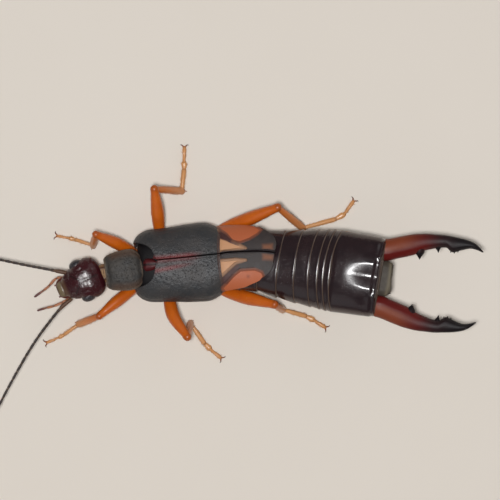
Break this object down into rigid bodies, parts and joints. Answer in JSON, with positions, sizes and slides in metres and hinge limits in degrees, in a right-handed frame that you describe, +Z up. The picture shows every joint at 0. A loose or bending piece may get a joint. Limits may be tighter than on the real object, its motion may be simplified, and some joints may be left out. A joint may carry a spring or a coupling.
{
  "type": "earwig",
  "caption": "Life-size earwig standing on its six legs, with long feelers, short wing cases, folded wing tips, a long plated abdomen and toothed forceps.",
  "frame": {"origin": "on the ground, under the middle of the whole animal's bounding box, feelers and forceps included", "axes": "+X from the head to the forceps, +Y to the animal's right, +Z up"},
  "size_m": [0.0364, 0.0198, 0.0038],
  "materials": {
    "head_shell": "glossy dark maroon shell, smooth with fine pits",
    "mouthparts": "satin olive brown shell",
    "eyes": "glossy dark grey, finely faceted",
    "feelers": "dark brown, matte, finely haired",
    "palps": "brown orange, satin",
    "soft_skin": "pale brown, soft and matte",
    "shield": "dark grey brown, matte, with a brown rim",
    "thorax_shell": "dark red brown shell, satin",
    "wing_cases": "slate grey, matte and finely grained, reddish along the seam",
    "wing_tips": "orange and slate pattern, satin",
    "abdomen_shell": "glossy black with a red tint, finely pitted",
    "forceps": "glossy, orange brown at the base to black at the tips",
    "legs": "saturated orange, satin, paler at the feet"
  },
  "bodies": {
    "root": {"head": "head_shell", "labrum": "mouthparts", "eye_right": "eyes", "eye_left": "eyes", "mandible_right": "mouthparts", "mandible_left": "mouthparts", "antenna_right": "feelers", "antenna_left": "feelers", "palp_right": "palps", "palp_left": "palps", "neck": "soft_skin", "prothorax": "soft_skin", "pronotum": "shield", "thorax": "thorax_shell", "scutellum": "thorax_shell", "elytron_right": "wing_cases", "elytron_left": "wing_cases", "wing_right": "wing_tips", "wing_left": "wing_tips", "abdomen": "abdomen_shell", "last_tergite": "abdomen_shell", "pygidium": "abdomen_shell", "forceps_right": "forceps", "forceps_left": "forceps", "leg_front_right": "legs", "leg_front_left": "legs", "leg_middle_right": "legs", "leg_middle_left": "legs", "leg_rear_right": "legs", "leg_rear_left": "legs"}
  },
  "joints": []
}
